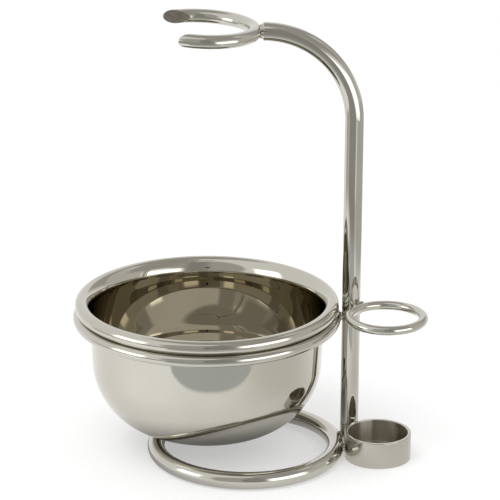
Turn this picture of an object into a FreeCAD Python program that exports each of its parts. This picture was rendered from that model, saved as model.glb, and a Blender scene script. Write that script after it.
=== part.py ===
"""Shaving stand with a removable bowl: a bent post on a base ring carries a brush fork, a bowl ring and a
razor ring, and a small cup on the table takes the end of the razor handle.

Millimetres. +X runs from the bowl to the post, -Y is the front and Z = 0 is the table."""
import FreeCAD, Part
import math
import os
import re
import Sketcher
from FreeCAD import Vector

DRIVING = {
    # the whole stand
    "bowl_x": -14.26,          # bowl axis; the origin is under the middle of the stand
    "joint_gap": 0.25,         # brazed gap left between two rods at a joint
    # post: one bent rod
    "post_radius": 3.15,
    "post_chamfer": 0.35,
    "bend_radius": 30.2,
    "bend_start_height": 116.0,
    "arm_straight": 0.5,
    # base ring, on the table
    "base_radius": 30.7,
    "base_rod": 2.9,
    "base_bearing": 15.0,      # bearing of the post as seen from the middle of the base ring
    # bowl ring
    "seat_radius": 43.7,
    "seat_rod": 2.0,
    "seat_height": 46.5,
    # bowl
    "sheet": 1.1,
    "bottom_height": 6.5,
    "bottom_radius": 14.4,
    "belly_radius": 24.95,
    "flare_radius": 7.4,
    "flare_height": 47.45,
    "bead_radius": 2.3,       # the rolled rim that rests on the bowl ring
    "bead_circle": 42.7,
    "bead_height": 50.85,
    # razor ring
    "razor_radius": 12.4,
    "razor_rod": 1.55,
    "razor_height": 50.7,
    "razor_bearing": -49.0,
    # razor cup
    "cup_radius": 11.35,
    "cup_bore": 10.2,
    "cup_height": 9.2,
    "cup_floor": 1.2,
    "cup_bearing": -3.8,
    "cup_edge": 0.15,
    # brush fork
    "fork_radius": 17.3,
    "fork_rod": 2.35,
    "fork_tilt": 2.8,
    "mouth_back": 14.3,
    "mouth_front": 15.4,
    "mouth_flare": 8.5,
    "mouth_reach": 24.0,
    # pegs and the stud that hold the rods together
    "peg_radius": 1.0,
    "peg_depth": 2.2,
    "cup_peg_depth": 0.8,      # the cup's wall is thin, so its peg only enters it this far
    "collar_radius": 1.35,
    "hole_play": 0.05,
}

doc = FreeCAD.newDocument("ShavingStand")


def make_sheet():
    """Write the driving dimensions and the places worked out from them."""
    sheet = doc.addObject("Spreadsheet::Sheet", "Dimensions")
    for row, (alias, value) in enumerate(DRIVING.items(), start=1):
        sheet.set(f"A{row}", alias)
        sheet.set(f"B{row}", str(value))
        sheet.setAlias(f"B{row}", alias)
    derived = {
        "post_x": "bowl_x + seat_radius + seat_rod + joint_gap + post_radius",
        "base_reach": "base_radius + base_rod + joint_gap + post_radius",
        "base_x": "post_x - base_reach * cos(base_bearing)",
        "base_y": "0 - base_reach * sin(base_bearing)",
        "razor_reach": "razor_radius + razor_rod + joint_gap + post_radius",
        "razor_x": "post_x + razor_reach * cos(razor_bearing)",
        "razor_y": "razor_reach * sin(razor_bearing)",
        "cup_reach": "base_radius + base_rod + joint_gap + cup_radius",
        "cup_x": "base_x + cup_reach * cos(cup_bearing)",
        "cup_y": "base_y + cup_reach * sin(cup_bearing)",
        "arm_height": "bend_start_height + bend_radius",
        "arm_end_x": "post_x - bend_radius - arm_straight",
        "fork_x": "arm_end_x - joint_gap - fork_rod - fork_radius * cos(fork_tilt)",
        "fork_height": "arm_height + fork_radius * sin(fork_tilt)",
        "peg_length": "2 * peg_depth + joint_gap",
        "cup_peg_length": "peg_depth + joint_gap + cup_peg_depth",
    }
    for row, (alias, formula) in enumerate(derived.items(), start=len(DRIVING) + 1):
        sheet.set(f"A{row}", alias)
        sheet.set(f"B{row}", "=" + formula)
        sheet.setAlias(f"B{row}", alias)
    doc.recompute()
    return sheet


SHEET = make_sheet()


def size(alias):
    """The present value of a cell of the sheet."""
    return float(SHEET.get(alias))


def bind(obj, **formulas):
    """Bind properties to formulas of sheet cells; a double underscore in a name stands for a dot."""
    for name, formula in formulas.items():
        obj.setExpression(name.replace("__", "."), cells(formula))


def cells(formula):
    """Put the sheet's name before every alias of a formula."""

    def full_name(match):
        word = match.group()
        return word if SHEET.getCellFromAlias(word) is None else "Dimensions." + word

    return re.sub(r"[a-z_]+", full_name, formula)


def place(obj, x_formula="0", y_formula="0", z_formula="0"):
    """Bind the base point of a piece."""
    bind(obj, Placement__Base__x=x_formula, Placement__Base__y=y_formula, Placement__Base__z=z_formula)


def aim(obj, x_formula, y_formula, z_formula, bearing="0"):
    """Lay a piece made along Z on its side, pointing along a bearing from +X."""
    base = f"create(<<vector>>; {x_formula}; {y_formula}; {z_formula})"
    axis = f"create(<<vector>>; 0 - sin({bearing}); cos({bearing}); 0)"
    turn = f"create(<<rotation>>; {axis}; 90)"
    bind(obj, Placement=f"create(<<placement>>; {base}; {turn})")


def origin_plane(body, role):
    """A plane of a body's own origin, by its role."""
    return next(f for f in body.Origin.OriginFeatures if f.Role == role)


def new_sketch(body, name, role):
    """A sketch on one of the body's origin planes."""
    sketch = body.newObject("Sketcher::SketchObject", name)
    sketch.AttachmentSupport = (origin_plane(body, role), [""])
    sketch.MapMode = "FlatFace"
    return sketch


def circle_sketch(body, name, role, radius_formula):
    """A sketch of one circle centred on the origin of its plane."""
    sketch = new_sketch(body, name, role)
    sketch.addGeometry(Part.Circle(Vector(0, 0, 0), Vector(0, 0, 1), 1.0))
    sketch.addConstraint(Sketcher.Constraint("Coincident", 0, 3, -1, 1))
    sketch.addConstraint(Sketcher.Constraint("Radius", 0, 1.0))
    sketch.renameConstraint(1, "radius")
    bind(sketch, **{"Constraints.radius": radius_formula})
    return sketch


def rod_ring(name, radius, rod, x_formula, y_formula, z_formula):
    """A closed ring of round rod."""
    ring = doc.addObject("Part::Torus", name)
    bind(ring, Radius1=radius, Radius2=rod)
    place(ring, x_formula, y_formula, z_formula)
    return ring


def peg_hole(name, start, bearing="0", length="peg_length"):
    """The drilling for one peg, shared by the two pieces that the peg joins."""
    hole = doc.addObject("Part::Cylinder", name)
    bind(hole, Radius="peg_radius + hole_play", Height=f"{length} + hole_play")
    aim(hole, start[0], start[1], start[2], bearing)
    return hole


def drilled(label, blank, holes):
    """A blank less its peg holes, under its final name."""
    piece = blank
    for number, hole in enumerate(holes, start=1):
        cut = doc.addObject("Part::Cut", f"{label}_drilled_{number}")
        cut.Base = piece
        cut.Tool = hole
        piece = cut
    piece.Label = label
    return piece


def peg(label, start, bearing="0", length="peg_length"):
    """A round peg with a thin collar that fills the brazed gap between the two pieces."""
    pin = doc.addObject("Part::Cylinder", label + "_pin")
    bind(pin, Radius="peg_radius", Height=length)
    aim(pin, start[0], start[1], start[2], bearing)
    collar = doc.addObject("Part::Cylinder", label + "_collar")
    bind(collar, Radius="collar_radius", Height="joint_gap - 2 * hole_play")
    shift = "(peg_depth + hole_play)"
    aim(
        collar,
        f"{start[0]} + {shift} * cos({bearing})",
        f"{start[1]} + {shift} * sin({bearing})",
        start[2],
        bearing,
    )
    whole = doc.addObject("Part::Fuse", label + "_whole")
    whole.Base = pin
    whole.Tool = collar
    whole.Label = label
    return whole


def start_point(x_formula, y_formula, z_formula, reach, bearing="0"):
    """Formulas for the inner end of a peg: a reach out from a centre along a bearing, less its depth."""
    along = f"({reach} - peg_depth)"
    return (
        f"{x_formula} + {along} * cos({bearing})",
        f"{y_formula} + {along} * sin({bearing})",
        z_formula,
    )


def make_post(holes):
    """The post: a round rod that stands on the table and bends over into a short arm, ends chamfered."""
    body = doc.addObject("PartDesign::Body", "PostBody")
    place(body, "post_x")
    profile = circle_sketch(body, "PostSection", "XY_Plane", "post_radius")
    path = new_sketch(body, "PostPath", "XZ_Plane")
    rise, bend, arm = size("bend_start_height"), size("bend_radius"), size("arm_straight")
    centre = Vector(-bend, rise, 0)
    path.addGeometry(Part.LineSegment(Vector(0, 0, 0), Vector(0, rise, 0)))
    path.addGeometry(Part.ArcOfCircle(Part.Circle(centre, Vector(0, 0, 1), bend), 0, math.pi / 2))
    path.addGeometry(Part.LineSegment(Vector(-bend, rise + bend, 0), Vector(-bend - arm, rise + bend, 0)))
    path.addConstraint(Sketcher.Constraint("Coincident", 0, 1, -1, 1))
    path.addConstraint(Sketcher.Constraint("Vertical", 0))
    path.addConstraint(Sketcher.Constraint("Tangent", 0, 2, 1, 1))
    path.addConstraint(Sketcher.Constraint("Tangent", 1, 2, 2, 1))
    path.addConstraint(Sketcher.Constraint("Horizontal", 2))
    for name, kind, item, value in (
        ("rise", "Distance", 0, rise),
        ("bend", "Radius", 1, bend),
        ("arm", "Distance", 2, arm),
    ):
        number = path.addConstraint(Sketcher.Constraint(kind, item, value))
        path.renameConstraint(number, name)
    bind(path, **{
        "Constraints.rise": "bend_start_height",
        "Constraints.bend": "bend_radius",
        "Constraints.arm": "arm_straight",
    })
    pipe = body.newObject("PartDesign::AdditivePipe", "PostRod")
    pipe.Profile = profile
    pipe.Spine = path
    doc.recompute()
    ends = [f"Edge{n}" for n, edge in enumerate(pipe.Shape.Edges, start=1) if is_end_circle(edge, pipe.Shape)]
    chamfer = body.newObject("PartDesign::Chamfer", "PostEnds")
    chamfer.Base = (pipe, ends)
    bind(chamfer, Size="post_chamfer")
    doc.recompute()
    return drilled("post", body, holes)


def is_end_circle(edge, shape):
    """Whether an edge bounds a flat end face of a shape."""
    flats = [f for f in shape.Faces if isinstance(f.Surface, Part.Plane)]
    return any(edge.isSame(other) for face in flats for other in face.Edges)


def make_fork(hole):
    """The brush fork: a ring of round rod with a flared mouth sawn out of its left side."""
    body = doc.addObject("PartDesign::Body", "ForkBody")
    section = new_sketch(body, "ForkSection", "XZ_Plane")
    section.addGeometry(Part.Circle(Vector(size("fork_radius"), 0, 0), Vector(0, 0, 1), size("fork_rod")))
    section.addConstraint(Sketcher.Constraint("PointOnObject", 0, 3, -1))
    reach = section.addConstraint(Sketcher.Constraint("DistanceX", -1, 1, 0, 3, size("fork_radius")))
    rod = section.addConstraint(Sketcher.Constraint("Radius", 0, size("fork_rod")))
    section.renameConstraint(reach, "reach")
    section.renameConstraint(rod, "rod")
    bind(section, **{"Constraints.reach": "fork_radius", "Constraints.rod": "fork_rod"})
    ring = body.newObject("PartDesign::Revolution", "ForkRing")
    ring.Profile = section
    ring.ReferenceAxis = (section, ["V_Axis"])
    ring.Angle = 360
    mouth = mouth_sketch(body)
    doc.recompute()
    slot = body.newObject("PartDesign::Pocket", "ForkMouth")
    slot.Profile = mouth
    slot.Type = "ThroughAll"
    slot.Midplane = True
    place(body, "fork_x", "0", "fork_height")
    body.Placement.Rotation = FreeCAD.Rotation(Vector(0, 1, 0), size("fork_tilt"))
    bind(body, Placement__Rotation__Angle="fork_tilt")
    doc.recompute()
    return drilled("brush_fork", body, [hole])


def mouth_sketch(body):
    """The outline of the fork's mouth, straight at the back and slanting outwards at the front."""
    sketch = new_sketch(body, "ForkMouthOutline", "XY_Plane")
    reach, back, front = size("mouth_reach"), size("mouth_back"), size("mouth_front")
    corners = [
        Vector(0, back, 0),
        Vector(-reach, back, 0),
        Vector(-reach, -front - size("mouth_flare"), 0),
        Vector(0, -front, 0),
    ]
    for number, corner in enumerate(corners):
        sketch.addGeometry(Part.LineSegment(corner, corners[(number + 1) % 4]))
    for number in range(4):
        sketch.addConstraint(Sketcher.Constraint("Coincident", number, 2, (number + 1) % 4, 1))
    sketch.addConstraint(Sketcher.Constraint("Horizontal", 0))
    sketch.addConstraint(Sketcher.Constraint("Vertical", 1))
    sketch.addConstraint(Sketcher.Constraint("PointOnObject", 0, 1, -2))
    sketch.addConstraint(Sketcher.Constraint("PointOnObject", 2, 2, -2))
    for name, first, second, value in (
        ("back", (-1, 1), (0, 1), back),
        ("front", (2, 2), (-1, 1), front),
        ("flare", (2, 1), (2, 2), size("mouth_flare")),
    ):
        number = sketch.addConstraint(Sketcher.Constraint("DistanceY", *first, *second, value))
        sketch.renameConstraint(number, name)
    number = sketch.addConstraint(Sketcher.Constraint("DistanceX", 0, 2, 0, 1, reach))
    sketch.renameConstraint(number, "reach")
    bind(sketch, **{
        "Constraints.back": "mouth_back",
        "Constraints.front": "mouth_front",
        "Constraints.flare": "mouth_flare",
        "Constraints.reach": "mouth_reach",
    })
    return sketch


def make_cup(hole):
    """The razor cup: a turned cup with a flat floor, its edges just broken."""
    body = doc.addObject("PartDesign::Body", "CupBody")
    place(body, "cup_x", "cup_y")
    outside = circle_sketch(body, "CupOutside", "XY_Plane", "cup_radius")
    blank = body.newObject("PartDesign::Pad", "CupBlank")
    blank.Profile = outside
    bind(blank, Length="cup_height")
    inside = circle_sketch(body, "CupInside", "XY_Plane", "cup_bore")
    inside.AttachmentOffset = FreeCAD.Placement(Vector(0, 0, size("cup_height")), FreeCAD.Rotation())
    bind(inside, AttachmentOffset__Base__z="cup_height")
    doc.recompute()
    bore = body.newObject("PartDesign::Pocket", "CupBore")
    bore.Profile = inside
    bind(bore, Length="cup_height - cup_floor")
    doc.recompute()
    edges = [
        f"Edge{n}"
        for n, edge in enumerate(bore.Shape.Edges, start=1)
        if isinstance(edge.Curve, Part.Circle) and abs(edge.BoundBox.ZMin - size("cup_floor")) > 0.5
    ]
    broken = body.newObject("PartDesign::Chamfer", "CupEdges")
    broken.Base = (bore, edges)
    bind(broken, Size="cup_edge")
    doc.recompute()
    return drilled("razor_cup", body, [hole])


def bowl_outline():
    """Points and centres of half the bowl's section, as (radius, height) vectors."""
    sheet, bottom, flat = size("sheet"), size("bottom_height"), size("bottom_radius")
    belly, flare, bead = size("belly_radius"), size("flare_radius"), size("bead_radius")
    belly_centre = Vector(flat, bottom + belly, 0)
    bead_centre = Vector(size("bead_circle"), size("bead_height"), 0)
    drop = size("bead_height") - size("flare_height")
    flare_centre = Vector(bead_centre.x + math.sqrt((flare - bead) ** 2 - drop ** 2), size("flare_height"), 0)
    span = flare_centre - belly_centre
    lean = math.atan2(span.y, span.x) + math.asin((belly + flare - sheet) / span.Length)
    wall = Vector(math.sin(lean), -math.cos(lean), 0)
    to_bead = (bead_centre - flare_centre).normalize()
    under = flare - sheet
    along = (under ** 2 + (flare - bead) ** 2 - bead ** 2) / (2 * (flare - bead))
    side = Vector(to_bead.y, -to_bead.x, 0) * math.sqrt(under ** 2 - along ** 2)
    meet = flare_centre + to_bead * along - side
    if meet.y > (flare_centre + to_bead * along + side).y:
        meet = flare_centre + to_bead * along + side
    return {
        "belly_centre": belly_centre,
        "flare_centre": flare_centre,
        "bead_centre": bead_centre,
        "belly_outer": belly_centre + wall * belly,
        "flare_outer": flare_centre - wall * under,
        "bead_lower": meet,
        "bead_upper": flare_centre + to_bead * flare,
        "flare_inner": flare_centre - wall * flare,
        "belly_inner": belly_centre + wall * (belly - sheet),
    }


def arc(centre, first, last, anticlockwise=True):
    """An arc from first to last, kept anticlockwise as sketches want it."""
    begin, end = (first, last) if anticlockwise else (last, first)
    radius = (first - centre).Length
    angles = [math.atan2(p.y - centre.y, p.x - centre.x) for p in (begin, end)]
    if angles[1] < angles[0]:
        angles[1] += 2 * math.pi
    return Part.ArcOfCircle(Part.Circle(centre, Vector(0, 0, 1), radius), angles[0], angles[1])


def make_bowl():
    """The bowl: a spun sheet with a flat bottom, a round belly, a flared lip and a rolled rim."""
    body = doc.addObject("PartDesign::Body", "BowlBody")
    place(body, "bowl_x")
    sketch = new_sketch(body, "BowlSection", "XZ_Plane")
    spots = bowl_outline()
    flat, bottom, sheet = size("bottom_radius"), size("bottom_height"), size("sheet")
    outer_foot, inner_foot = Vector(flat, bottom, 0), Vector(flat, bottom + sheet, 0)
    outer_axis, inner_axis = Vector(0, bottom, 0), Vector(0, bottom + sheet, 0)
    belly, flare, bead = spots["belly_centre"], spots["flare_centre"], spots["bead_centre"]
    pieces = [
        Part.LineSegment(outer_axis, outer_foot),
        arc(belly, outer_foot, spots["belly_outer"]),
        Part.LineSegment(spots["belly_outer"], spots["flare_outer"]),
        arc(flare, spots["flare_outer"], spots["bead_lower"], anticlockwise=False),
        arc(bead, spots["bead_lower"], spots["bead_upper"]),
        arc(flare, spots["bead_upper"], spots["flare_inner"]),
        Part.LineSegment(spots["flare_inner"], spots["belly_inner"]),
        arc(belly, spots["belly_inner"], inner_foot, anticlockwise=False),
        Part.LineSegment(inner_foot, inner_axis),
        Part.LineSegment(inner_axis, outer_axis),
    ]
    sketch.addGeometry(pieces)
    # the pairs of touching ends, by piece and end (1 start, 2 end; 3 would be a centre)
    bottom_line, belly_out, wall_out, flare_out, bead_arc = range(5)
    flare_in, wall_in, belly_in, floor, axis = range(5, 10)
    smooth = [
        ((bottom_line, 2), (belly_out, 1)),
        ((belly_out, 2), (wall_out, 1)),
        ((wall_out, 2), (flare_out, 2)),
        ((bead_arc, 2), (flare_in, 1)),
        ((flare_in, 2), (wall_in, 1)),
        ((wall_in, 2), (belly_in, 2)),
        ((belly_in, 1), (floor, 1)),
    ]
    joined = [
        ((flare_out, 1), (bead_arc, 1)),
        ((floor, 2), (axis, 1)),
        ((axis, 2), (bottom_line, 1)),
        ((belly_in, 3), (belly_out, 3)),
        ((flare_in, 3), (flare_out, 3)),
    ]
    for first, second in smooth:
        sketch.addConstraint(Sketcher.Constraint("Tangent", *first, *second))
    for first, second in joined:
        sketch.addConstraint(Sketcher.Constraint("Coincident", *first, *second))
    sketch.addConstraint(Sketcher.Constraint("Horizontal", bottom_line))
    sketch.addConstraint(Sketcher.Constraint("PointOnObject", axis, 2, -2))
    sketch.addConstraint(Sketcher.Constraint("PointOnObject", axis, 1, -2))
    sizes = [
        ("bottom", "DistanceY", (-1, 1, bottom_line, 1), bottom, "bottom_height"),
        ("flat", "DistanceX", (bottom_line, 1, bottom_line, 2), flat, "bottom_radius"),
        ("belly", "Radius", (belly_out,), size("belly_radius"), "belly_radius"),
        ("sheet", "Distance", (axis,), sheet, "sheet"),
        ("flare", "Radius", (flare_in,), size("flare_radius"), "flare_radius"),
        ("under", "Radius", (flare_out,), size("flare_radius") - sheet, "flare_radius - sheet"),
        ("bead", "Radius", (bead_arc,), size("bead_radius"), "bead_radius"),
        ("bead_circle", "DistanceX", (-1, 1, bead_arc, 3), size("bead_circle"), "bead_circle"),
        ("bead_height", "DistanceY", (-1, 1, bead_arc, 3), size("bead_height"), "bead_height"),
        ("flare_height", "DistanceY", (-1, 1, flare_in, 3), size("flare_height"), "flare_height"),
    ]
    for name, kind, items, value, formula in sizes:
        number = sketch.addConstraint(Sketcher.Constraint(kind, *items, value))
        sketch.renameConstraint(number, name)
        bind(sketch, **{f"Constraints.{name}": formula})
    spin = body.newObject("PartDesign::Revolution", "BowlSpinning")
    spin.Profile = sketch
    spin.ReferenceAxis = (sketch, ["V_Axis"])
    spin.Angle = 360
    doc.recompute()
    body.Label = "bowl"
    return body


def make_stand():
    """Every piece of the stand, in the order in which it would be put together."""
    base_start = start_point("base_x", "base_y", "base_rod", "base_radius + base_rod", "base_bearing")
    seat_start = start_point("bowl_x", "0", "seat_height", "seat_radius + seat_rod")
    razor_start = start_point("post_x", "0", "razor_height", "post_radius", "razor_bearing")
    cup_start = start_point("base_x", "base_y", "base_rod", "base_radius + base_rod", "cup_bearing")
    fork_start = ("arm_end_x - joint_gap - peg_depth", "0", "arm_height")
    base_hole = peg_hole("BaseHole", base_start, "base_bearing")
    seat_hole = peg_hole("SeatHole", seat_start)
    razor_hole = peg_hole("RazorHole", razor_start, "razor_bearing")
    cup_hole = peg_hole("CupHole", cup_start, "cup_bearing", "cup_peg_length")
    fork_hole = peg_hole("ForkHole", fork_start)
    base = rod_ring("BaseTorus", "base_radius", "base_rod", "base_x", "base_y", "base_rod")
    seat = rod_ring("SeatTorus", "seat_radius", "seat_rod", "bowl_x", "0", "seat_height")
    razor = rod_ring("RazorTorus", "razor_radius", "razor_rod", "razor_x", "razor_y", "razor_height")
    return [
        drilled("base_ring", base, [base_hole, cup_hole]),
        make_post([base_hole, seat_hole, razor_hole, fork_hole]),
        make_fork(fork_hole),
        drilled("bowl_ring", seat, [seat_hole]),
        drilled("razor_ring", razor, [razor_hole]),
        make_cup(cup_hole),
        peg("base_peg", base_start, "base_bearing"),
        peg("bowl_ring_peg", seat_start),
        peg("razor_ring_peg", razor_start, "razor_bearing"),
        peg("cup_peg", cup_start, "cup_bearing", "cup_peg_length"),
        peg("fork_stud", fork_start),
        make_bowl(),
    ]


def check(piece):
    """Stop if an object or its shape has gone wrong."""
    shape = piece.Shape
    if shape.isNull() or not shape.isValid():
        raise RuntimeError(f"{piece.Label} has no valid shape")
    if len(shape.Solids) != 1:
        raise RuntimeError(f"{piece.Label} has {len(shape.Solids)} solids")


def main():
    """Build the stand, check every object and write one STEP file per piece."""
    pieces = make_stand()
    doc.recompute()
    for obj in doc.Objects:
        if "Invalid" in obj.State or "Error" in obj.State:
            raise RuntimeError(f"{obj.Name}: {obj.State}")
    os.makedirs("parts", exist_ok=True)
    for piece in pieces:
        check(piece)
        piece.Shape.exportStep(f"parts/{piece.Label}.step")


main()
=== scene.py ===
"""Looks of the shaving stand: smooth rods, rings, bowl and cup of polished metal, in a white studio.

Metres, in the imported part's frame: +X from the bowl to the post, -Y the front, Z = 0 the table."""
import bpy
import bmesh
from math import asin, atan2, cos, pi, radians, sin, sqrt
from mathutils import Matrix, Vector


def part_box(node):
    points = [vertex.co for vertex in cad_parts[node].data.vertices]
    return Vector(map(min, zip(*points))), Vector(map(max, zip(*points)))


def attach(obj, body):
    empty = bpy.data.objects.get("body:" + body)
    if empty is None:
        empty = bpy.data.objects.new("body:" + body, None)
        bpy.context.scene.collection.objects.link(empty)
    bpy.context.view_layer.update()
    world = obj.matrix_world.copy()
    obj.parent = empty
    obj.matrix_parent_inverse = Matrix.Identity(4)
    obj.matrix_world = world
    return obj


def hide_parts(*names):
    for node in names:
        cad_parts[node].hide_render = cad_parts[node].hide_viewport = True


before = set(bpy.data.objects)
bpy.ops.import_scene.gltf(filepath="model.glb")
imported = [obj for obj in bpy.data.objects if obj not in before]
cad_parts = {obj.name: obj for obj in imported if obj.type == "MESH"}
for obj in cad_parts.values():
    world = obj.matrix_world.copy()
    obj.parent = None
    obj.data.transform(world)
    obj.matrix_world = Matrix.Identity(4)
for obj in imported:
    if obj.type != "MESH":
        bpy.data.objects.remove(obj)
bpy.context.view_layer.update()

MM = 0.001

# how finely the round pieces are divided
RING_STEPS = 320
CUP_STEPS = 192
ROD_STEPS = 48
FORK_STEPS = 200
BEND_STEPS = 96
STRAIGHT_STEPS = 25
BELLY_STEPS = 48
BEAD_STEPS = 48
FLARE_STEPS = 24
UNDER_STEPS = 16
EDGE_STEPS = 5
BRAZE_STATIONS = 14

# edges under this angle are shaded smooth
SMOOTH_ANGLE = radians(50)


# ---------------------------------------------------------------- the frame

def node_size(node):
    """Middle and full size of a node's box."""
    low, high = (Vector(corner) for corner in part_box(node))
    return (low + high) / 2, high - low


class RodRing:
    """Middle, centreline radius and rod radius of a flat ring, read from its node's box."""

    def __init__(self, node):
        self.middle, extent = node_size(node)
        self.rod = extent.z / 2
        self.radius = (extent.x + extent.y) / 4 - self.rod


BASE = RodRing("base_ring")
SEAT = RodRing("bowl_ring")
RAZOR = RodRing("razor_ring")
CUP_MIDDLE, CUP_SIZE = node_size("razor_cup")
BOWL_MIDDLE, BOWL_SIZE = node_size("bowl")
POST_MIDDLE, POST_SIZE = node_size("post")
POST_ROD = POST_SIZE.y / 2
POST_X = POST_MIDDLE.x + POST_SIZE.x / 2 - POST_ROD
ARM_END = POST_MIDDLE.x - POST_SIZE.x / 2
ARM_Z = POST_SIZE.z - POST_ROD

# the bends and edges that a box doesn't tell
BEND_RADIUS = 30.2 * MM
POST_CHAMFER = 0.35 * MM
SHEET = 1.1 * MM
BOWL_FLAT = 14.4 * MM
BELLY_RADIUS = 24.95 * MM
FLARE_RADIUS = 7.4 * MM
FLARE_Z = 47.45 * MM
BEAD_RADIUS = 2.3 * MM
CUP_WALL = 1.15 * MM
CUP_FLOOR = 1.2 * MM
CUP_EDGE = 0.22 * MM
FORK_RADIUS = 17.3 * MM
FORK_ROD = 2.35 * MM
FORK_TILT = radians(2.8)
JOINT_GAP = 0.25 * MM
MOUTH_BACK = 14.3 * MM
MOUTH_FRONT = 15.4 * MM
MOUTH_SLANT = 8.5 / 24.0
FORK_END_EDGE = 0.18 * MM

# brazing fillets: half a fillet's length, and its radii at one end, between and at the other end
BRAZE_HALF = 1.1 * MM
RING_BRAZE = (2.3 * MM, 0.6 * MM, 2.3 * MM)
FORK_BRAZE = (2.75 * MM, 2.1 * MM, 2.15 * MM)


# ---------------------------------------------------------------- mesh code

def new_piece(name, mesh_data, material, body, *nodes):
    """Make a piece from a bmesh, give it its material and body, and let it stand for its CAD nodes."""
    mesh = bpy.data.meshes.new(name)
    bmesh.ops.recalc_face_normals(mesh_data, faces=mesh_data.faces)
    mesh_data.to_mesh(mesh)
    mesh_data.free()
    mesh.shade_smooth()
    mesh.set_sharp_from_angle(angle=SMOOTH_ANGLE)
    piece = bpy.data.objects.new(name, mesh)
    bpy.context.scene.collection.objects.link(piece)
    mesh.materials.append(material)
    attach(piece, body)
    if nodes:
        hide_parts(*nodes)
    return piece


def loops_to_faces(bm, loops, close_rows=True, close_columns=True):
    """Quads between neighbouring rows of vertices."""
    count = len(loops)
    for i in range(count if close_rows else count - 1):
        row, nxt = loops[i], loops[(i + 1) % count]
        width = len(row)
        for j in range(width if close_columns else width - 1):
            k = (j + 1) % width
            bm.faces.new((row[j], row[k], nxt[k], nxt[j]))


def lathe(profile, middle, steps=RING_STEPS):
    """Turn a profile of (radius, height) points about a vertical axis; both its ends lie on the axis."""
    bm = bmesh.new()
    columns = []
    for radius, height in profile:
        if radius < 1e-7:
            columns.append([bm.verts.new((middle[0], middle[1], height))])
            continue
        columns.append([
            bm.verts.new((
                middle[0] + radius * cos(2 * pi * k / steps),
                middle[1] + radius * sin(2 * pi * k / steps),
                height,
            ))
            for k in range(steps)
        ])
    for first, second in zip(columns, columns[1:]):
        for k in range(steps):
            n = (k + 1) % steps
            corners = [
                first[k % len(first)],
                first[n % len(first)],
                second[n % len(second)],
                second[k % len(second)],
            ]
            bm.faces.new(list(dict.fromkeys(corners)))
    return bm


def arc_points(centre, radius, start, end, steps):
    """Points of an arc in the (radius, height) plane, from one angle to another."""
    angles = [start + (end - start) * k / steps for k in range(steps + 1)]
    return [(centre[0] + radius * cos(angle), centre[1] + radius * sin(angle)) for angle in angles]


def torus(ring):
    """A closed ring of round rod."""
    bm = bmesh.new()
    rows = []
    for i in range(RING_STEPS):
        turn = 2 * pi * i / RING_STEPS
        row = []
        for j in range(ROD_STEPS):
            side = 2 * pi * j / ROD_STEPS
            reach = ring.radius + ring.rod * cos(side)
            row.append(bm.verts.new((
                ring.middle.x + reach * cos(turn),
                ring.middle.y + reach * sin(turn),
                ring.middle.z + ring.rod * sin(side),
            )))
        rows.append(row)
    loops_to_faces(bm, rows)
    return bm


def post_path():
    """Centre and direction at each station of the post: foot, bend and arm."""
    stations = [(Vector((POST_X, 0, 0)), Vector((0, 0, 1)))]
    rise = ARM_Z - BEND_RADIUS
    for k in range(1, STRAIGHT_STEPS):
        stations.append((Vector((POST_X, 0, rise * k / STRAIGHT_STEPS)), Vector((0, 0, 1))))
    for k in range(BEND_STEPS + 1):
        turn = pi / 2 * k / BEND_STEPS
        centre = Vector((POST_X - BEND_RADIUS + BEND_RADIUS * cos(turn), 0, rise + BEND_RADIUS * sin(turn)))
        stations.append((centre, Vector((-sin(turn), 0, cos(turn)))))
    stations.append((Vector((ARM_END, 0, ARM_Z)), Vector((-1, 0, 0))))
    return stations


def round_row(bm, centre, side, up, radius, steps):
    """A circle of vertices in the plane of two directions."""
    return [
        bm.verts.new(centre + radius * (cos(2 * pi * j / steps) * side + sin(2 * pi * j / steps) * up))
        for j in range(steps)
    ]


def rod_along(stations, rod, chamfer):
    """A round rod along stations in the XZ plane, with chamfered flat ends."""
    bm = bmesh.new()
    rows = []

    def add_row(centre, direction, radius):
        side = Vector((0, 1, 0))
        rows.append(round_row(bm, centre, side, direction.cross(side), radius, ROD_STEPS))

    first, last = stations[0], stations[-1]
    add_row(first[0], first[1], rod - chamfer)
    add_row(first[0] + first[1] * chamfer, first[1], rod)
    for centre, direction in stations[1:-1]:
        add_row(centre, direction, rod)
    add_row(last[0] - last[1] * chamfer, last[1], rod)
    add_row(last[0], last[1], rod - chamfer)
    loops_to_faces(bm, rows, close_rows=False)
    bm.faces.new(rows[0])
    bm.faces.new(rows[-1])
    return bm


def fork_mesh():
    """The open fork: each line along the rod runs from one slanting saw cut to the other."""
    bm = bmesh.new()
    slant = atan2(MOUTH_SLANT, 1.0)
    lines = []
    for j in range(ROD_STEPS):
        side = 2 * pi * j / ROD_STEPS
        reach = FORK_RADIUS + FORK_ROD * cos(side)
        start = pi - asin(MOUTH_BACK / reach)
        end = pi + asin(MOUTH_FRONT * cos(slant) / reach) + slant
        turns = [end - 2 * pi + (start - end + 2 * pi) * k / FORK_STEPS for k in range(FORK_STEPS + 1)]
        lines.append([
            bm.verts.new((reach * cos(turn), reach * sin(turn), FORK_ROD * sin(side)))
            for turn in turns
        ])
    rows = [[line[k] for line in lines] for k in range(FORK_STEPS + 1)]
    loops_to_faces(bm, rows, close_rows=False)
    caps = [bm.faces.new(rows[0]), bm.faces.new(rows[-1])]
    bmesh.ops.recalc_face_normals(bm, faces=bm.faces)
    edges = [edge for cap in caps for edge in cap.edges]
    bmesh.ops.bevel(bm, geom=edges, offset=FORK_END_EDGE, segments=3, profile=0.5, affect="EDGES")
    rod_middle = Vector((ARM_END - JOINT_GAP - FORK_ROD, 0, ARM_Z))
    middle = rod_middle + FORK_RADIUS * Vector((-cos(FORK_TILT), 0, sin(FORK_TILT)))
    place = Matrix.Translation(middle) @ Matrix.Rotation(FORK_TILT, 4, "Y")
    bmesh.ops.transform(bm, matrix=place, verts=bm.verts)
    return bm


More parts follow.
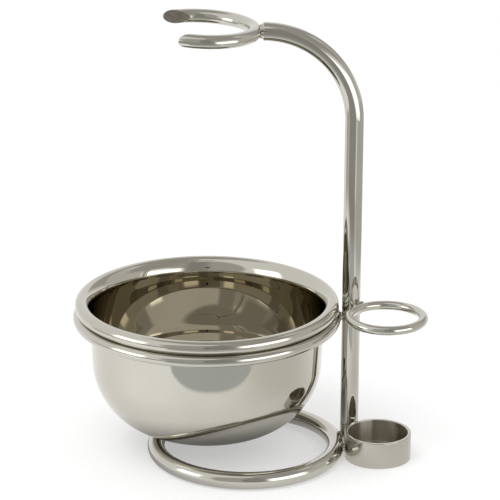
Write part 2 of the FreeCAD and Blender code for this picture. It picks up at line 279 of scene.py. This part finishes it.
def bowl_profile():
    """Half the bowl's section, from the axis under the bottom, over the lip and back to the axis inside."""
    bottom = BOWL_MIDDLE.z - BOWL_SIZE.z / 2
    top = BOWL_MIDDLE.z + BOWL_SIZE.z / 2
    bead = Vector((BOWL_SIZE.x / 2 - BEAD_RADIUS, top - BEAD_RADIUS))
    belly = Vector((BOWL_FLAT, bottom + BELLY_RADIUS))
    inset = FLARE_RADIUS - BEAD_RADIUS
    flare = Vector((bead.x + sqrt(inset ** 2 - (bead.y - FLARE_Z) ** 2), FLARE_Z))
    span = flare - belly
    under = FLARE_RADIUS - SHEET
    lean = atan2(span.y, span.x) + asin((BELLY_RADIUS + under) / span.length) - pi / 2
    to_bead = atan2(bead.y - flare.y, bead.x - flare.x)
    along = (under ** 2 + inset ** 2 - BEAD_RADIUS ** 2) / (2 * inset)
    spread = atan2(sqrt(under ** 2 - along ** 2), along)
    tuck = to_bead + spread
    meet = flare + under * Vector((cos(tuck), sin(tuck)))
    bead_start = atan2(meet.y - bead.y, meet.x - bead.x)
    points = [(0.0, bottom), (BOWL_FLAT * 0.5, bottom)]
    points += arc_points(belly, BELLY_RADIUS, -pi / 2, lean, BELLY_STEPS)
    points += arc_points(flare, under, pi + lean, tuck, UNDER_STEPS)
    points += arc_points(bead, BEAD_RADIUS, bead_start, to_bead, BEAD_STEPS)[1:]
    points += arc_points(flare, FLARE_RADIUS, to_bead, pi + lean, FLARE_STEPS)[1:]
    points += arc_points(belly, BELLY_RADIUS - SHEET, lean, -pi / 2, BELLY_STEPS)
    points += [(BOWL_FLAT * 0.5, bottom + SHEET), (0.0, bottom + SHEET)]
    return points


def cup_profile():
    """Half the cup's section, with its edges rounded over."""
    outer, height = CUP_SIZE.x / 2, CUP_SIZE.z
    inner, edge = outer - CUP_WALL, CUP_EDGE
    points = [(0.0, 0.0), (outer * 0.6, 0.0)]
    points += arc_points((outer - edge, edge), edge, -pi / 2, 0, EDGE_STEPS)
    points += arc_points((outer - edge, height - edge), edge, 0, pi / 2, EDGE_STEPS)
    points += arc_points((inner + edge, height - edge), edge, pi / 2, pi, EDGE_STEPS)
    points += arc_points((inner - edge, CUP_FLOOR + edge), edge, 0, -pi / 2, EDGE_STEPS)
    points += [(inner * 0.5, CUP_FLOOR), (0.0, CUP_FLOOR)]
    return points


def braze_mesh(start, end, first, waist, last):
    """A fillet of brazing metal from one point to another, turned about the line between them.

    The first and last radii are its ends; the waist pulls the curve between them inwards."""
    bm = bmesh.new()
    rows = []
    way = end - start
    side = way.orthogonal().normalized()
    up = way.cross(side).normalized()
    for k in range(BRAZE_STATIONS + 1):
        t = k / BRAZE_STATIONS
        radius = first * (1 - t) ** 2 + 2 * waist * t * (1 - t) + last * t * t
        rows.append(round_row(bm, start + way * t, side, up, radius, ROD_STEPS))
    loops_to_faces(bm, rows, close_rows=False)
    bm.faces.new(rows[0])
    bm.faces.new(rows[-1])
    return bm


# ---------------------------------------------------------------- materials

class NodeTree:
    """Short calls for making a material's nodes."""

    def __init__(self, name):
        self.material = bpy.data.materials.new(name)
        self.material.use_nodes = True
        self.tree = self.material.node_tree
        self.shader = next(n for n in self.tree.nodes if n.type == "BSDF_PRINCIPLED")

    def add(self, kind, **values):
        """A node with its properties and input values set."""
        node = self.tree.nodes.new(kind)
        for name, value in values.items():
            if hasattr(node, name):
                setattr(node, name, value)
            else:
                node.inputs[name.replace("_", " ")].default_value = value
        return node

    def link(self, source, target):
        self.tree.links.new(source, target)

    def noise(self, scale, detail, stretch=(1, 1, 1)):
        """Noise in the object's own coordinates, stretched along its axes."""
        place = self.add("ShaderNodeTexCoord")
        mapping = self.add("ShaderNodeMapping")
        mapping.inputs["Scale"].default_value = stretch
        noise = self.add("ShaderNodeTexNoise", Scale=scale, Detail=detail)
        self.link(place.outputs["Object"], mapping.inputs["Vector"])
        self.link(mapping.outputs["Vector"], noise.inputs["Vector"])
        return noise.outputs["Fac"]

    def ramp(self, source, low, high):
        """Map a noise value to a range of colours."""
        ramp = self.add("ShaderNodeValToRGB")
        ramp.color_ramp.elements[0].position = 0.3
        ramp.color_ramp.elements[1].position = 0.7
        ramp.color_ramp.elements[0].color = (*low, 1)
        ramp.color_ramp.elements[1].color = (*high, 1)
        self.link(source, ramp.inputs["Fac"])
        return ramp.outputs["Color"]

    def bump(self, height, strength, distance, before=None):
        """Turn a noise value into relief, over an earlier relief if there is one."""
        bump = self.add("ShaderNodeBump", Strength=strength, Distance=distance)
        self.link(height, bump.inputs["Height"])
        if before is not None:
            self.link(before, bump.inputs["Normal"])
        return bump.outputs["Normal"]


def polished_metal(name, light, dark, gloss, waviness, hairline):
    """Nickel-chrome plate: faint clouding of colour and gloss, slight waves and hairline polishing marks."""
    nodes = NodeTree(name)
    nodes.shader.inputs["Metallic"].default_value = 1.0
    clouds = nodes.noise(55.0, 3.0)
    nodes.link(nodes.ramp(clouds, dark, light), nodes.shader.inputs["Base Color"])
    smears = nodes.noise(140.0, 4.0, (1.0, 1.0, 2.5))
    rough = nodes.ramp(smears, (gloss[0],) * 3, (gloss[1],) * 3)
    nodes.link(rough, nodes.shader.inputs["Roughness"])
    wave = nodes.bump(nodes.noise(38.0, 1.0), waviness, 0.0004)
    hairlines = nodes.bump(nodes.noise(2600.0, 2.0, (0.04, 0.04, 1.0)), hairline, 0.00005, wave)
    nodes.link(hairlines, nodes.shader.inputs["Normal"])
    return nodes.material


def mirror_metal(name, light, dark):
    """The bowl's plate, polished almost to a mirror."""
    return polished_metal(name, light, dark, (0.004, 0.014), 0.012, 0.002)


def sawn_metal(name):
    """A sawn end under thin plate: fine parallel saw marks and a dull grey-brown colour."""
    nodes = NodeTree(name)
    nodes.shader.inputs["Metallic"].default_value = 1.0
    grain = nodes.noise(1800.0, 3.0, (0.25, 1.0, 1.6))
    nodes.link(nodes.ramp(grain, (0.20, 0.185, 0.15), (0.36, 0.34, 0.29)), nodes.shader.inputs["Base Color"])
    nodes.shader.inputs["Roughness"].default_value = 0.42
    nodes.link(nodes.bump(grain, 0.35, 0.0001), nodes.shader.inputs["Normal"])
    return nodes.material


def turned_metal(name):
    """A lathe-turned bore under thin plate: level tool marks that draw reflections into upright streaks."""
    nodes = NodeTree(name)
    nodes.shader.inputs["Metallic"].default_value = 1.0
    marks = nodes.noise(900.0, 3.0, (0.03, 0.03, 9.0))
    nodes.link(nodes.ramp(marks, (0.36, 0.335, 0.27), (0.52, 0.49, 0.41)), nodes.shader.inputs["Base Color"])
    nodes.shader.inputs["Roughness"].default_value = 0.3
    nodes.shader.inputs["Anisotropic"].default_value = 1.0
    nodes.shader.inputs["Anisotropic Rotation"].default_value = 0.25
    around = nodes.add("ShaderNodeTangent", direction_type="RADIAL", axis="Z")
    nodes.link(around.outputs["Tangent"], nodes.shader.inputs["Tangent"])
    nodes.link(nodes.bump(marks, 0.12, 0.00004), nodes.shader.inputs["Normal"])
    return nodes.material


def brazing_metal(name):
    """Brazing metal under plate: smooth, with a slightly lumpy run."""
    nodes = NodeTree(name)
    nodes.shader.inputs["Metallic"].default_value = 1.0
    lumps = nodes.noise(700.0, 2.0)
    nodes.link(nodes.ramp(lumps, (0.40, 0.38, 0.34), (0.58, 0.56, 0.52)), nodes.shader.inputs["Base Color"])
    nodes.shader.inputs["Roughness"].default_value = 0.16
    nodes.link(nodes.bump(lumps, 0.3, 0.0003), nodes.shader.inputs["Normal"])
    return nodes.material


def studio_paper(name):
    """A white table lit from below, under paper with a barely visible tooth."""
    nodes = NodeTree(name)
    nodes.shader.inputs["Roughness"].default_value = 0.9
    tooth = nodes.noise(900.0, 4.0)
    nodes.link(nodes.ramp(tooth, (0.52, 0.52, 0.52), (0.55, 0.55, 0.55)), nodes.shader.inputs["Base Color"])
    nodes.shader.inputs["Emission Color"].default_value = (1.0, 1.0, 1.0, 1)
    nodes.shader.inputs["Emission Strength"].default_value = 0.42
    nodes.link(nodes.bump(tooth, 0.05, 0.0001), nodes.shader.inputs["Normal"])
    return nodes.material


ROD_METAL = polished_metal("rod_plate", (0.56, 0.545, 0.49), (0.53, 0.515, 0.46), (0.03, 0.06), 0.10, 0.02)
BOWL_METAL = mirror_metal("bowl_plate", (0.555, 0.535, 0.475), (0.53, 0.51, 0.45))
# painted shade: the bowl's inside is a darker, browner copy of the same plate
BOWL_INSIDE_PAINTED_SHADE = mirror_metal("bowl_inside_painted_shade", (0.53, 0.497, 0.42), (0.50, 0.467, 0.39))
CUP_METAL = polished_metal("cup_plate", (0.55, 0.53, 0.48), (0.50, 0.48, 0.43), (0.10, 0.16), 0.08, 0.02)
SAWN_METAL = sawn_metal("sawn_end")
TURNED_METAL = turned_metal("turned_bore")
BRAZE_METAL = brazing_metal("brazing")


# ---------------------------------------------------------------- the pieces

def make_rings():
    """The three closed rings of round rod."""
    for node, ring in (("base_ring", BASE), ("bowl_ring", SEAT), ("razor_ring", RAZOR)):
        new_piece(node + "_rod", torus(ring), ROD_METAL, "stand", node)


def make_post():
    """The bent post."""
    new_piece("post_rod", rod_along(post_path(), POST_ROD, POST_CHAMFER), ROD_METAL, "stand", "post")


def make_fork():
    """The fork, its two sawn ends in their own dull material."""
    fork = new_piece("brush_fork_rod", fork_mesh(), ROD_METAL, "stand", "brush_fork")
    fork.data.materials.append(SAWN_METAL)
    for face in sorted(fork.data.polygons, key=lambda f: len(f.vertices))[-2:]:
        face.material_index = 1


def make_bowl():
    """The loose bowl, its inside below the lip a little browner and darker than the rest: painted shade."""
    bowl = new_piece("bowl_shell", lathe(bowl_profile(), BOWL_MIDDLE), BOWL_METAL, "loose_bowl", "bowl")
    bowl.data.materials.append(BOWL_INSIDE_PAINTED_SHADE)
    for face in bowl.data.polygons:
        outward = Vector((face.center.x - BOWL_MIDDLE.x, face.center.y - BOWL_MIDDLE.y, 0))
        faces_axis = face.normal.dot(outward) < 0
        faces_up = face.normal.z > 0.7
        if (faces_axis or faces_up) and face.center.z < FLARE_Z:
            face.material_index = 1


def make_cup():
    """The razor cup, polished outside and turned inside."""
    mesh_data = lathe(cup_profile(), CUP_MIDDLE, CUP_STEPS)
    cup = new_piece("razor_cup_body", mesh_data, CUP_METAL, "stand", "razor_cup")
    cup.data.materials.append(TURNED_METAL)
    bore = CUP_SIZE.x / 2 - CUP_WALL + 0.02 * MM
    for face in cup.data.polygons:
        reach = (face.center - CUP_MIDDLE).xy.length
        if reach < bore and face.center.z > CUP_FLOOR * 0.9:
            face.material_index = 1


def between(first, second, reach, height):
    """A point on the way from one upright axis to another, a reach from the first, and the way itself."""
    way = Vector((second.x - first.x, second.y - first.y, 0)).normalized()
    return Vector((first.x, first.y, height)) + way * reach, way


def make_brazing():
    """The brazed joints, one small fillet each, and the pegs inside them."""
    post_axis = Vector((POST_X, 0, 0))
    # name, first axis, second axis, how far the first piece reaches, height
    joints = (
        ("base_braze", BASE.middle, post_axis, BASE.radius + BASE.rod, BASE.middle.z),
        ("bowl_ring_braze", SEAT.middle, post_axis, SEAT.radius + SEAT.rod, SEAT.middle.z),
        ("razor_ring_braze", post_axis, RAZOR.middle, POST_ROD, RAZOR.middle.z),
        ("cup_braze", BASE.middle, CUP_MIDDLE, BASE.radius + BASE.rod, BASE.middle.z),
    )
    for name, first, second, reach, height in joints:
        centre, way = between(first, second, reach + JOINT_GAP / 2, height)
        fillet = braze_mesh(centre - way * BRAZE_HALF, centre + way * BRAZE_HALF, *RING_BRAZE)
        new_piece(name, fillet, BRAZE_METAL, "stand")
    arm_face = Vector((ARM_END + 0.05 * MM, 0, ARM_Z))
    fork_side = Vector((ARM_END - 1.9 * MM, 0, ARM_Z))
    fillet = braze_mesh(arm_face, fork_side, *FORK_BRAZE)
    new_piece("fork_braze", fillet, BRAZE_METAL, "stand")
    for node in ("base_peg", "bowl_ring_peg", "razor_ring_peg", "cup_peg", "fork_stud"):
        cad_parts[node].data.materials.clear()
        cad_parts[node].data.materials.append(BRAZE_METAL)


# ---------------------------------------------------------------- studio and camera

def toward(bearing, elevation):
    """A direction; bearing 0 is the camera's side, positive to the right."""
    turn, rise = radians(bearing), radians(elevation)
    return Vector((sin(turn) * cos(rise), -cos(turn) * cos(rise), sin(rise)))


# the point that the studio is set out round, and the way from it to the lens
STUDIO_MIDDLE = Vector((-0.01, 0, 0.05))
LENS_WAY = toward(0, 19)
UP = Vector((0, 0, 1))
TABLE_RADIUS = 3.0
ROUND_SIDES = 96

# card colours
WARM = (1.0, 0.98, 0.94)
COOL = (0.94, 0.99, 1.0)
WHITE = (1.0, 1.0, 1.0)


def stage_mesh(name, bm, material):
    """A piece of the studio."""
    mesh = bpy.data.meshes.new(name)
    bm.to_mesh(mesh)
    bm.free()
    mesh.materials.append(material)
    item = bpy.data.objects.new(name, mesh)
    bpy.context.scene.collection.objects.link(item)
    return item


def smooth(share):
    """An even start and stop between 0 and 1."""
    share = min(max(share, 0.0), 1.0)
    return share * share * (3 - 2 * share)


def glow(name, colour, strength):
    """A glowing surface that fades to nothing where the card's own fade value falls to 0."""
    material = bpy.data.materials.new(name)
    material.use_nodes = True
    tree = material.node_tree
    tree.nodes.clear()
    emission = tree.nodes.new("ShaderNodeEmission")
    emission.inputs["Color"].default_value = (*colour, 1)
    emission.inputs["Strength"].default_value = strength
    nothing = tree.nodes.new("ShaderNodeBsdfTransparent")
    fade = tree.nodes.new("ShaderNodeAttribute")
    fade.attribute_name = "fade"
    mix = tree.nodes.new("ShaderNodeMixShader")
    output = tree.nodes.new("ShaderNodeOutputMaterial")
    tree.links.new(fade.outputs["Fac"], mix.inputs[0])
    tree.links.new(nothing.outputs["BSDF"], mix.inputs[1])
    tree.links.new(emission.outputs["Emission"], mix.inputs[2])
    tree.links.new(mix.outputs["Shader"], output.inputs["Surface"])
    return material


def soft_card(name, rows, closed, colour, strength):
    """A studio card from rows of (point, fade), kept out of the picture: only polished metal shows it."""
    bm = bmesh.new()
    loops_to_faces(bm, [[bm.verts.new(point) for point, _ in row] for row in rows], False, closed)
    if closed:
        bm.verts.ensure_lookup_table()
        bm.faces.new(bm.verts[:len(rows[0])])
    item = stage_mesh(name, bm, glow(name, colour, strength))
    values = [value for row in rows for _, value in row]
    item.data.attributes.new("fade", "FLOAT", "POINT").data.foreach_set("value", values)
    item.visible_camera = False
    item.visible_diffuse = False
    item.visible_shadow = False
    item.visible_transmission = False


def curved_card(name, bearings, elevations, distance, colour, strength, soft):
    """A card bent round the stand, between two bearings and two elevations, fading over its outer degrees."""
    steps = 32
    wide, high = bearings[1] - bearings[0], elevations[1] - elevations[0]
    rows = []
    for i in range(steps + 1):
        upright = smooth(min(i, steps - i) / steps * high / soft)
        row = []
        for k in range(steps + 1):
            across = smooth(min(k, steps - k) / steps * wide / soft)
            way = toward(bearings[0] + wide * k / steps, elevations[0] + high * i / steps)
            row.append((STUDIO_MIDDLE + distance * way, upright * across))
        rows.append(row)
    soft_card(name, rows, False, colour, strength)


def floor_card(name, bearings, reaches, height, colour, strength, blur, turn_blur):
    """A round-cornered card flat over the table, between two bearings and two reaches from the bowl."""
    steps, fades = 48, 6
    roundness, pull = 2.6, 0.28
    foot = Vector((BOWL_MIDDLE.x, 0, height))
    wide = bearings[1] - bearings[0]
    rows = []
    for k in range(steps + 1):
        side = smooth(min(k, steps - k) / steps * wide / turn_blur)
        corner = 1 - sqrt(1 - abs(2 * k / steps - 1) ** roundness)
        near = reaches[0] * (1 + pull * corner)
        way = toward(bearings[0] + wide * k / steps, 0)
        row = [(foot + (near + blur * j / fades) * way, smooth(j / fades) * side) for j in range(fades + 1)]
        rows.append(row + [(foot + reaches[1] * way, side)])
    soft_card(name, rows, False, colour, strength)


def round_card(name, middle, facing, radius, colour, strength, soft):
    """A round card at a place, square to a direction, fading over its outer part."""
    steps = 24
    turn = facing.to_track_quat("Z", "Y")
    rows = []
    for i in range(1, steps + 1):
        reach = radius * i / steps
        value = smooth((radius - reach) / soft)
        angles = [2 * pi * k / ROUND_SIDES for k in range(ROUND_SIDES)]
        rows.append([
            (middle + turn @ Vector((reach * cos(angle), reach * sin(angle), 0)), value)
            for angle in angles
        ])
    soft_card(name, rows, True, colour, strength)


def softbox(name, bearing, elevation, distance, width, height, power):
    """A rectangular soft light aimed at the stand, left out of the reflections."""
    light = bpy.data.lights.new(name, "AREA")
    light.shape = "RECTANGLE"
    light.size, light.size_y = width, height
    light.energy = power
    lamp = bpy.data.objects.new(name, light)
    lamp.location = STUDIO_MIDDLE + toward(bearing, elevation) * distance
    lamp.rotation_euler = (STUDIO_MIDDLE - lamp.location).to_track_quat("-Z", "Y").to_euler()
    lamp.visible_glossy = False
    bpy.context.scene.collection.objects.link(lamp)


def make_table():
    """The white table."""
    bm = bmesh.new()
    bmesh.ops.create_circle(bm, cap_ends=True, segments=ROUND_SIDES, radius=TABLE_RADIUS)
    stage_mesh("table", bm, studio_paper("table_paper"))


def make_tent():
    """An even white surround, and a soft light from above on the left."""
    world = bpy.data.worlds.new("tent")
    world.use_nodes = True
    background = world.node_tree.nodes["Background"]
    background.inputs["Color"].default_value = (*WHITE, 1)
    background.inputs["Strength"].default_value = 0.97
    bpy.context.scene.world = world
    # name, bearing, elevation, distance, width, height, power
    softbox("key_light", -50, 62, 1.2, 0.7, 0.7, 5.0)


def make_round_cards():
    """The tent's opening with the lens in it, the vent overhead, and painted shadow, shade and glare on the
    table.
    """
    opening = STUDIO_MIDDLE + LENS_WAY * 0.8
    lens = STUDIO_MIDDLE + LENS_WAY * 0.76
    vent_way = toward(150, 77)
    vent = STUDIO_MIDDLE + vent_way * 1.3
    shadow_under_bowl = Vector((BOWL_MIDDLE.x + 0.004, -0.004, 0.0006))
    table_right_shade = Vector((0.11, -0.05, 0.0003))
    table_left = Vector((-0.13, -0.085, 0.0002))
    # name, middle, facing, radius, colour, strength, soft edge
    round_card("tent_opening", opening, LENS_WAY, 0.68, WARM, 0.53, 0.16)
    round_card("lens", lens, LENS_WAY, 0.038, WHITE, 0.002, 0.004)
    round_card("ceiling_vent", vent, vent_way, 0.80, WARM, 0.47, 0.26)
    # painted shadow: a dim disc on the table under the bowl, seen only in the metal
    round_card("shadow_under_bowl", shadow_under_bowl, UP, 0.048, WARM, 0.16, 0.035)
    # painted shade: a dimmer disc on the table right of the stand, seen only in the metal
    round_card("table_right_shade", table_right_shade, UP, 0.13, WARM, 0.80, 0.10)
    # painted glare: a brighter pool of light on the table left of the stand, seen only in the metal
    round_card("table_left_glare", table_left, UP, 0.11, WHITE, 1.22, 0.09)


def make_floor_cards():
    """Painted shade on the table: a patch in front of the bowl and its far parts all round."""
    # painted shade: cards dimmer than the white table, seen only in the metal
    # name, bearings, reaches, height, colour, strength, soft near edge, soft sides in degrees
    floor_card("table_shade_patch", (-32, 41), (0.099, 0.30), 0.0004, COOL, 0.63, 0.004, 5)
    floor_card("table_front_shade", (-66, 36), (0.19, 1.6), 0.0008, WARM, 0.40, 0.05, 14)
    floor_card("table_left", (-112, -54), (0.19, 1.6), 0.0010, WARM, 0.62, 0.06, 12)
    floor_card("table_far_right_shade", (34, 172), (0.19, 1.6), 0.0012, WARM, 0.62, 0.06, 12)


def make_curved_cards():
    """The room seen past the lens, the dimmer right half of the tent, and its two bright windows."""
    # name, bearings, elevations, distance, colour, strength, soft edge in degrees
    curved_card("room_behind", (-8, 30), (-20, 60), 0.78, WARM, 0.36, 14)
    curved_card("ceiling_right", (8, 98), (24, 74), 1.2, WARM, 0.46, 10)
    curved_card("wall_right", (62, 124), (-5, 50), 1.25, WARM, 0.68, 8)
    curved_card("back_right", (112, 160), (6, 60), 1.3, WARM, 0.50, 10)
    curved_card("left_window", (-85, -47), (-5, 32), 0.46, WHITE, 2.7, 9)
    curved_card("right_window", (22, 75), (-10, 27), 0.46, WHITE, 2.5, 10)


def make_camera():
    """A long lens, well in front of the stand and a little above it."""
    aim = Vector((0.0003, 0.0, 0.0701))
    distance = 0.9153
    elevation = radians(18.95)
    sideways = -0.0025
    roll = radians(0.28)
    camera = bpy.data.cameras.new("camera")
    camera.lens = 194.8
    camera.sensor_width = 36.0
    eye = bpy.data.objects.new("camera", camera)
    eye.location = aim + Vector((sideways, -cos(elevation), sin(elevation))) * distance
    facing = (aim - eye.location).to_track_quat("-Z", "Y")
    eye.rotation_euler = (facing.to_matrix() @ Matrix.Rotation(roll, 3, "Z")).to_euler()
    bpy.context.scene.collection.objects.link(eye)
    bpy.context.scene.camera = eye
    bpy.context.scene.view_settings.view_transform = "Standard"


def allow_deep_reflections():
    """Let light run on through the many reflections between the bowl's walls, which else end in black."""
    bpy.context.scene.cycles.glossy_bounces = 14
    bpy.context.scene.cycles.max_bounces = 16
    bpy.context.scene.cycles.min_light_bounces = 12


make_rings()
make_post()
make_fork()
make_bowl()
make_cup()
make_brazing()
make_table()
make_tent()
make_round_cards()
make_floor_cards()
make_curved_cards()
make_camera()
allow_deep_reflections()
